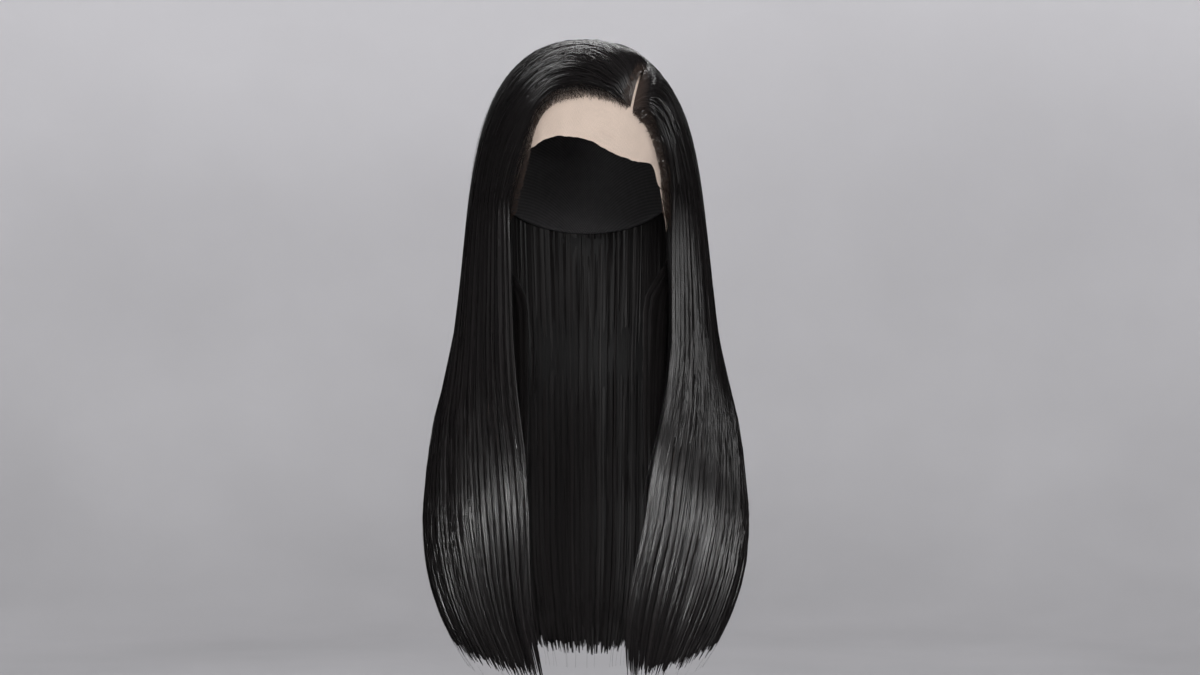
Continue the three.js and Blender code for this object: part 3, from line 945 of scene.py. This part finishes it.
class WIG_OT_lace(bpy.types.Operator):
    """Makes the sheer lace over the forehead, and the two tabs in front of the ears"""

    bl_idname = "wig.lace"
    bl_label = "Lace and ear tabs"

    KNOTTED = 0.55  # how far the net closes where hair is knotted into it
    CUT_EDGE = 0.12  # how far it closes at its cut edge

    def execute(self, context):
        self.front(context)
        for hand, name in ((-1, "right_ear_tab"), (1, "left_ear_tab")):
            self.tab(context, hand, name)
        return {"FINISHED"}

    def front(self, context):
        cap = context.scene.wig_cap
        chance = np.random.default_rng(3)
        ripple = chance.uniform(0, 2 * np.pi, 6)

        def skin(across, along, depth):
            side = lerp(cap.ear_side, -cap.ear_side, across)
            cut = sum(np.sin(side * k * 0.37 + ripple[k]) / k for k in range(1, 6)) * 0.25
            up = lerp(lace_up(side) + 0.3 + cut, cap.seam_up, along**1.3)
            toward = direction(side, up)
            free = 1 - smooth(up - lace_up(side), 0, 14)
            wave = np.sin(side * 0.55 + 1.0) * 0.25 + np.sin(side * 0.23) * 0.3
            height = lerp(cap.lace_low, cap.lace_high, depth) + fold_height(toward) + free * wave * MM
            return above_scalp(toward, np.maximum(height, cap.lace_low * depth))

        piece = wall_piece("lace_panel", skin, 110, 64)
        self.knot(piece)
        self.finish(piece, "lace_front", (0.27, 0.15), 0.0262)

    def knot(self, piece):
        """Marks how closed the lace is: open in front of the hairline, closed under the hair."""
        layer = piece.data.attributes["flow"]
        toward = unit(self.read(piece.data.vertices, "co") - head_centre())
        side = np.degrees(np.arcsin(toward[:, 0]))
        up = np.degrees(np.arctan2(toward[:, 2], -toward[:, 1]))
        flow = self.read(layer.data, "vector")
        knotted = self.KNOTTED * smooth(up, 40, 48)
        flow[:, 2] = knotted + self.CUT_EDGE * (1 - smooth(up - lace_up(side), 0.5, 1.6))
        layer.data.foreach_set("vector", flow.ravel())

    def read(self, items, name):
        values = np.zeros(len(items) * 3, np.float32)
        items.foreach_get(name, values)
        return values.reshape(-1, 3)

    def tab(self, context, hand, name):
        cap = context.scene.wig_cap
        head = context.scene.wig_head
        gap = math.degrees(cap.tab_gap / head.half_width)

        def top(side):
            return direction(hand * side, lace_up(hand * side) - gap)

        middle_top, tip = top(np.array(54.25)), direction(hand * 50, -60)

        def skin(across, along, depth):
            width = lerp(0.12, 1, np.sqrt(1 - along**2))[..., None]
            beside = (top(lerp(47.5, 61, across)) - middle_top) * width
            toward = lerp(middle_top, tip, along[..., None]) + beside
            curl = (np.abs(2 * across - 1) ** 3) * smooth(along, 0.1, 0.7) * 1.1 * MM
            height = lerp(cap.lace_low, cap.lace_high, depth) + curl + 0.5 * MM * np.sin(3 * along) * along
            return above_scalp(toward, height)

        piece = wall_piece(name + "_lace", skin, 28, 48)
        self.finish(piece, name, (0.023, 0.052), 0.00075)

    def finish(self, piece, node, flat, area):
        piece.data.materials.append(finish_of("sheer_lace", lace_finish))
        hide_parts(node)


class WIG_OT_cap(bpy.types.Operator):
    """Makes the stretch cap behind the lace"""

    bl_idname = "wig.cap"
    bl_label = "Cap"

    def execute(self, context):
        cap = context.scene.wig_cap
        seam = math.degrees(cap.clearance / context.scene.wig_head.rise)

        def skin(across, along, depth):
            side = lerp(cap.ear_side, -cap.ear_side, across)
            toward = direction(side, lerp(cap.seam_up + seam, cap.nape_up, along))
            edge = np.minimum(np.minimum(across, 1 - across) * 3.0, 1 - along)
            hem = 0.35 * MM * (1 - smooth(edge, 0.045, 0.06)) * (1 - depth)
            return above_scalp(toward, np.maximum(cap.wall * depth * 0.97 - hem, -0.4 * MM))

        piece = wall_piece("cap_net", skin, 60, 50)
        piece.data.materials.append(finish_of("stretch_net", cap_finish))
        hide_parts("cap")
        return {"FINISHED"}


BASE_START = 0.1  # the travel at which a base begins, hidden under the strands
BASE_RAGGED = 0.015  # how unevenly it ends, in travel
BASE_INNER = 0.44  # how far it reaches in from the middle of the hair's thickness, as a share
BASE_OUTER = (0.15, 0.38)  # how far it reaches out, on the head and in the fall


def hair_base(name, section, node, across, along, stop, seed, hairline=0):
    """The dense hair under the strands of a section. It ends unevenly, hidden among their tips."""
    chance = np.random.default_rng(seed)
    phase = chance.uniform(0, 2 * np.pi, 4)

    def skin(u, v, depth):
        ragged = sum(np.sin(u * k * 31 + phase[k]) / 4 for k in range(4))
        travel = lerp(BASE_START, stop + BASE_RAGGED * ragged, v)
        thin = 1 - 0.75 * smooth(travel, stop - 0.25, stop)
        outer = lerp(*BASE_OUTER, smooth(travel, 0.9, 1.3))
        kept = 0.14 * (1 - smooth(travel, *LEAVING_HEAD)) + 0.12 * smooth(travel, 1.65, 1.85)
        depth = lerp(0.5 - BASE_INNER * thin, 0.5 + outer * thin, depth)
        return section.point(within(u, kept, hairline), travel, depth)

    piece = wall_piece(name, skin, across, along)
    piece.data.materials.append(finish_of("under_hair", under_hair_finish))
    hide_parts(node)


def dress(piece, inner=False):
    """Gives strands their finish, which is duller on the inside of the falls."""
    if inner:
        finish = finish_of("inner_strands", lambda: strand_finish("inner_strands", 0.08, 0.38))
    else:
        finish = finish_of("glossy_strands", strand_finish)
    piece.data.materials.append(finish)


class WIG_OT_front_hair(bpy.types.Operator):
    """Makes the hair on both sides of the parting and its falls in front"""

    bl_idname = "wig.front_hair"
    bl_label = "Front hair"

    def execute(self, context):
        sizes = context.scene.wig_strands
        for seed, side, hairline in ((11, "right", 1), (12, "left", -1)):
            section = HairSection(side)
            hair_base(side + "_front_base", section, side + "_front_hair", 64, 80, 1.965, seed, hairline)
            growth = Growth(sizes.front_count, sizes.width, hairline=hairline)
            dress(grow_strands(side + "_front_strands", section, growth, seed))
        return {"FINISHED"}


class WIG_OT_back_hair(bpy.types.Operator):
    """Makes the hair on the crown and its fall behind"""

    bl_idname = "wig.back_hair"
    bl_label = "Back hair"

    def execute(self, context):
        sizes = context.scene.wig_strands
        section = HairSection("back")
        hair_base("back_base", section, "back_hair", 90, 80, 1.965, 20)
        outer = Growth(sizes.back_count, sizes.width * 1.4, locks=40, tufts=150, rooted=0.4, late=0.6)
        dress(grow_strands("back_strands", section, outer, 21))
        inner = Growth(
            sizes.inner_count,
            sizes.width * 1.5,
            locks=50,
            tufts=150,
            late=0.9,
            depth=0.02,
            facing=-1,
            turned=0.1,
            ridged=False,
        )
        dress(grow_strands("back_inner_strands", section, inner, 22), inner=True)
        return {"FINISHED"}


class WIG_OT_neck_hair(bpy.types.Operator):
    """Makes the darker hair beside the neck"""

    bl_idname = "wig.neck_hair"
    bl_label = "Neck hair"

    def execute(self, context):
        sizes = context.scene.wig_strands
        growth = Growth(
            sizes.neck_count, sizes.width, locks=9, tufts=30, rooted=0.9, late=0.2, uneven=0.1, sway=0.012
        )
        for seed, hand, side in ((31, -1, "right"), (32, 1, "left")):
            section = NeckHair(hand)
            hair_base(side + "_neck_base", section, side + "_neck_hair", 30, 50, 1.75, seed)
            dress(grow_strands(side + "_neck_strands", section, growth, seed), inner=True)
        return {"FINISHED"}


class WIG_OT_hairline(bpy.types.Operator):
    """Makes the strands that rise from the hairline, and the short soft hairs in front of them"""

    bl_idname = "wig.hairline"
    bl_label = "Hairline"

    def execute(self, context):
        sizes = context.scene.wig_strands
        for seed, side in ((41, "right"), (42, "left")):
            section = HairSection(side)
            width = sizes.width * 0.5
            dress(self.rising(side + "_hairline_strands", section, sizes.hairline_count, width, seed))
            dress(self.soft(side + "_baby_hairs", section, sizes.baby_count, sizes.fine_width, seed))
        return {"FINISHED"}

    def rising(self, name, section, count, width, seed):
        """Strands rooted along the hairline, which rise from it and then bend into the flow."""
        chance = np.random.default_rng(seed)
        right = section.place == "right"
        begin = (0.93 * (np.arange(count) + chance.uniform(0, 1, count)) / count)[:, None]
        height = (0.03 + 0.42 * chance.uniform(0, 1, count) ** 1.4)[:, None] * (1 - 0.45 * begin)
        bend = chance.uniform(0.035, 0.11, (count, 1))
        length = chance.uniform(0.35, 0.75, (count, 1))
        share = np.linspace(0, 1, 20)[None, :] ** 1.35
        gone = length * share
        a = height * (1 - np.exp(-gone / bend)) + chance.normal(0, 0.004, (count, 1)) * gone
        root = -0.012 + 0.085 * chance.uniform(0, 1, (count, 1)) ** 0.6
        a = a + root
        depth = lerp(-0.4, 1.02, 1 - np.exp(-gone / 0.035)) + chance.normal(0, 0.04, (count, 1))
        depth = depth - 0.5 * smooth(share, 0.75, 1)
        across = a if right else 1 - a
        travel = begin + gone
        paths = section.point(across, travel, depth)
        outward = unit(paths - section.point(across, travel, depth - DEPTH_STEP))
        beside = unit(section.point(across + ACROSS_STEP, travel, depth) - paths)
        outward = outward + chance.normal(0, 0.3, (count, 1, 1)) * beside
        widths = width * chance.uniform(0.5, 1.1, (count, 1)) * lerp(0.35, 1, smooth(share, 0, 0.15))
        widths = widths * (1 - 0.8 * smooth(share, 0.85, 1))
        return ribbons(name, paths, outward, widths, np.clip(0.55 + chance.normal(0, 0.2, count), 0, 1))

    def soft(self, name, section, count, width, seed):
        """Short fine hairs on the lace, in front of the hairline."""
        chance = np.random.default_rng(seed + 100)
        right = section.place == "right"
        begin = chance.uniform(0.01, 0.92, count)[:, None]
        share = np.linspace(0, 1, 8)[None, :]
        edge = 0.0 if right else 1.0
        inward = 0.03 if right else -0.03
        root = section.point(edge, begin, 0.2)
        up = unit(section.point(edge + inward, begin, 0.2) - root)
        along = unit(section.point(edge, begin + 0.03, 0.2) - root)
        before = np.abs(chance.normal(0, 2.2, (count, 1, 1))) * MM
        length = chance.uniform(6, 20, (count, 1, 1)) * MM
        lean = chance.normal(0.35, 0.35, (count, 1, 1))
        curl = chance.uniform(0.2, 1.1, (count, 1, 1))
        s = share[..., None]
        rise, run = s - 0.35 * curl * s**2, lean * s + curl * s**2
        paths = root - up * before + length * (up * rise + along * run)
        toward = unit(paths - head_centre())
        paths = above_scalp(toward, (0.9 + chance.uniform(0.5, 3.0, (count, 1)) * share) * MM)
        widths = width * chance.uniform(0.5, 1.2, (count, 1)) * (1 - 0.85 * share)
        outward = unit(paths - head_centre())
        return ribbons(name, paths, outward, widths, chance.uniform(0.5, 1, count))


class WIG_OT_loose_hair(bpy.types.Operator):
    """Makes single fine hairs that stray from the falls and the crown"""

    bl_idname = "wig.loose_hair"
    bl_label = "Loose hairs"

    def execute(self, context):
        sizes = context.scene.wig_strands
        for seed, side, share in ((51, "right", 0.32), (52, "left", 0.32), (53, "back", 0.36)):
            section = HairSection(side)
            count = int(sizes.loose_count * share)
            dress(self.loose(side + "_loose_hairs", section, count, sizes.fine_width, seed))
        return {"FINISHED"}

    def loose(self, name, section, count, width, seed):
        chance = np.random.default_rng(seed)
        share = np.linspace(0, 1, 18)[None, :]
        at_edge = chance.uniform(0, 1, count) < 0.45
        side = chance.integers(0, 2, count)
        edge = np.abs(side - np.abs(chance.normal(0, 0.035, count)))
        across = np.where(at_edge, edge, chance.uniform(0, 1, count))[:, None]
        begin = chance.uniform(0.15, 1.6, (count, 1))
        length = chance.uniform(0.25, 1.1, (count, 1))
        travel = np.minimum(begin + length * share, 2.03)
        phase = chance.uniform(0, 2 * np.pi, (2, count, 1))
        stray = np.sin(3 * travel + phase[0]) - np.sin(3 * begin + phase[0])
        stray = stray + 0.4 * np.sin(8 * travel + phase[1])
        a = across + chance.normal(0, 0.012, (count, 1)) * stray
        lift = chance.uniform(0.01, 0.11, (count, 1)) * smooth(share, 0, 0.5)
        depth = 1.0 + lift * (0.6 + 0.4 * np.sin(5 * travel + phase[1]))
        paths = section.point(a, travel, depth)
        outward = unit(paths - section.point(a, travel, depth - DEPTH_STEP))
        widths = width * chance.uniform(0.6, 1.3, (count, 1)) * (1 - 0.8 * share)
        return ribbons(name, paths, outward, widths, chance.uniform(0, 1, count))


class WIG_OT_stage(bpy.types.Operator):
    """Makes the floor and backdrop, the lights and the camera"""

    bl_idname = "wig.stage"
    bl_label = "Floor, lights and camera"

    LENS = 85.0
    SENSOR = 36.0
    DISTANCE = 2.437
    AIM = (0.012, 0.0, -0.241)
    FLOOR = -0.82
    LAMP_AIM = (0.0, 0.0, -0.38)
    FILL_AIM = (0.0, 0.0, -0.08)
    # The lamps that give the hair its gloss: name, place, width, height and power in watts
    LAMPS = (
        ("over", (-0.5, 0.6, 1.15), 2.6, 0.22, 25.0),
        ("right_key", (1.5, -2.0, -0.28), 1.5, 0.14, 58.0),
        ("right_side", (2.2, -0.8, 0.6), 0.7, 0.9, 38.0),
        ("left_key", (-0.7, -2.4, -0.28), 0.5, 0.13, 44.0),
        ("soft_front", (0.0, -2.9, 0.3), 3.0, 2.2, 30.0),
        ("soft_back", (0.0, 2.9, 0.3), 3.0, 2.2, 8.0),
    )

    def execute(self, context):
        self.backdrop(context)
        self.lights(context)
        self.camera(context)
        return {"FINISHED"}

    def backdrop(self, context):
        """A round floor that curves up into a wall all round."""
        flat, bend, top, turns, arcs = 3.1, 0.9, 2.6, 96, 14
        profile = [(0.0, self.FLOOR), (1.0, self.FLOOR), (flat, self.FLOOR)]
        for k in range(1, arcs + 1):
            angle = math.pi / 2 * k / arcs
            profile.append((flat + bend * math.sin(angle), self.FLOOR + bend * (1 - math.cos(angle))))
        profile.append((flat + bend, top))
        points, faces = [], []
        for k in range(turns):
            angle = 2 * math.pi * k / turns
            points += [(r * math.cos(angle), r * math.sin(angle), z) for r, z in profile]
        rows = len(profile)
        for k in range(turns):
            a, b = k * rows, (k + 1) % turns * rows
            faces += [(a + i, a + i + 1, b + i + 1, b + i) for i in range(1, rows - 1)]
        centre = len(points)
        points.append((0.0, 0.0, self.FLOOR))
        faces += [(centre, k * rows + 1, (k + 1) % turns * rows + 1) for k in range(turns)]
        mesh = bpy.data.meshes.new("studio_sweep")
        mesh.from_pydata(points, [], faces)
        mesh.shade_smooth()
        sweep = bpy.data.objects.new("studio_sweep", mesh)
        context.scene.collection.objects.link(sweep)
        shader = Shader("studio_paint_with_painted_falloff", Roughness=0.9, Specular_IOR_Level=0.0)
        place = shader.add("TexCoord", {}, {}).out("Object")
        height = shader.parts(place)[2]
        # Painted light: the backdrop is painted lighter towards the top and darker down on the floor, in
        # place of the fall-off of the studio light, with a soft mottle over it
        shade = (height * 0.8 + 0.6).clamped() * 0.8 + shader.noise(place, 1.6, 4.0) * 0.4
        colour = context.scene.wig_colours.wall
        shader.set(Base_Color=shader.mix(shade.clamped(), tint(colour, 0.66), tint(colour, 1.4)))
        mesh.materials.append(shader.material)
        sweep.visible_glossy = False

    def lights(self, context):
        for name, place, width, height, power in self.LAMPS:
            lamp = self.light(name, place, self.LAMP_AIM, width, height, power)
            lamp.visible_diffuse = False
        fill = self.light("lace_fill", (0.1, -2.6, 0.75), self.FILL_AIM, 1.0, 0.5, 34.0)
        fill.visible_glossy = False
        world = bpy.data.worlds.new("studio_air")
        context.scene.world = world
        world.use_nodes = True
        background = world.node_tree.nodes["Background"]
        background.inputs["Color"].default_value = (0.98, 0.98, 1.0, 1.0)
        background.inputs["Strength"].default_value = 1.0
        world.cycles_visibility.glossy = False

    def light(self, name, place, aim, width, height, power):
        lamp = bpy.data.lights.new(name, "AREA")
        lamp.shape = "RECTANGLE"
        lamp.size, lamp.size_y, lamp.energy = width, height, power
        holder = bpy.data.objects.new(name, lamp)
        bpy.context.scene.collection.objects.link(holder)
        holder.location = place
        holder.rotation_euler = (Vector(aim) - Vector(place)).to_track_quat("-Z", "Y").to_euler()
        return holder

    def camera(self, context):
        lens = bpy.data.cameras.new("camera")
        lens.lens, lens.sensor_width = self.LENS, self.SENSOR
        camera = bpy.data.objects.new("camera", lens)
        context.scene.collection.objects.link(camera)
        camera.location = (self.AIM[0], -self.DISTANCE, self.AIM[2])
        camera.rotation_euler = (math.pi / 2, 0.0, 0.0)
        context.scene.camera = camera
        context.scene.view_settings.view_transform = "Standard"


class WIG_PT_parts(bpy.types.Panel):
    """Lists the steps that make the wig"""

    bl_idname = "WIG_PT_parts"
    bl_label = "Wig"
    bl_space_type = "VIEW_3D"
    bl_region_type = "UI"
    bl_category = "Wig"

    def draw(self, context):
        for step in STEPS:
            self.layout.operator(step.bl_idname)


STEPS = (
    WIG_OT_stage,
    WIG_OT_cap,
    WIG_OT_lace,
    WIG_OT_front_hair,
    WIG_OT_back_hair,
    WIG_OT_neck_hair,
    WIG_OT_hairline,
    WIG_OT_loose_hair,
)
GROUPS = {
    "wig_head": HeadSizes,
    "wig_cap": CapSizes,
    "wig_hair": HairSizes,
    "wig_strands": StrandSizes,
    "wig_colours": Colours,
}


def register():
    for kind in (*GROUPS.values(), *STEPS, WIG_PT_parts):
        bpy.utils.register_class(kind)
    for name, kind in GROUPS.items():
        setattr(bpy.types.Scene, name, PointerProperty(type=kind))


def unregister():
    for name in GROUPS:
        delattr(bpy.types.Scene, name)
    for kind in reversed((*GROUPS.values(), *STEPS, WIG_PT_parts)):
        bpy.utils.unregister_class(kind)


def main():
    register()
    bpy.ops.wig.stage()
    bpy.ops.wig.cap()
    bpy.ops.wig.lace()
    bpy.ops.wig.front_hair()
    bpy.ops.wig.back_hair()
    bpy.ops.wig.neck_hair()
    bpy.ops.wig.hairline()
    bpy.ops.wig.loose_hair()


if __name__ == "__main__":
    main()
